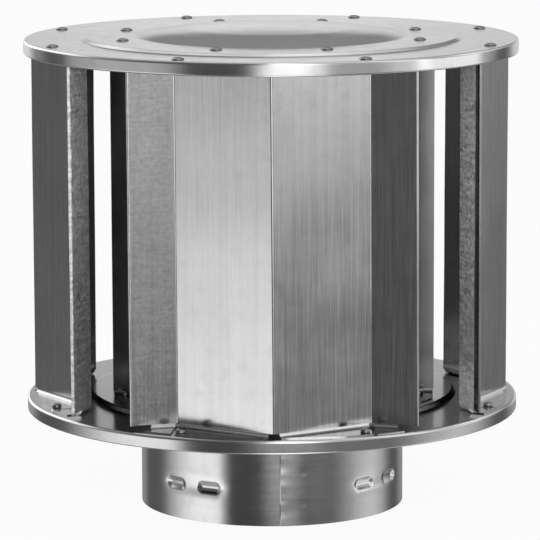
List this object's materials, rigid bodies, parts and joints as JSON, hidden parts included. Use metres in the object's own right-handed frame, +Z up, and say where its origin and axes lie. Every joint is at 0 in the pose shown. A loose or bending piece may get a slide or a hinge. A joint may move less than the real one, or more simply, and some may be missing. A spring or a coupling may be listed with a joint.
{
  "type": "gas vent cap",
  "caption": "Round sheet-metal gas vent cap: folded wind panels and baffles between two pressed plates, above a double-wall pipe collar.",
  "frame": {"origin": "on the flue's axis, at the collar's lower edge", "axes": "+Z up the flue, -Y towards the front wind panel's ridge"},
  "size_m": [0.314, 0.314, 0.3058],
  "materials": {
    "plate": "bright rolled zinc-aluminium coated sheet",
    "panel": "vertically brushed zinc-aluminium coated sheet",
    "baffle": "mill finish zinc-aluminium coated sheet",
    "collar": "bright rolled zinc-aluminium coated sheet",
    "liner": "mill finish aluminium sheet",
    "rivet": "plain blind rivet"
  },
  "bodies": {
    "root": {"top_plate": "plate", "bottom_plate": "plate", "collar": "collar", "flue_liner": "liner", "rivets_top_outer": "rivet", "rivets_top_inner": "rivet", "rivets_bottom_outer": "rivet", "rivets_bottom_inner": "rivet", "wind_panel_front": "panel", "wind_panel_right": "panel", "wind_panel_back": "panel", "wind_panel_left": "panel", "baffle_front_right": "baffle", "baffle_back_right": "baffle", "baffle_back_left": "baffle", "baffle_front_left": "baffle"}
  },
  "joints": []
}
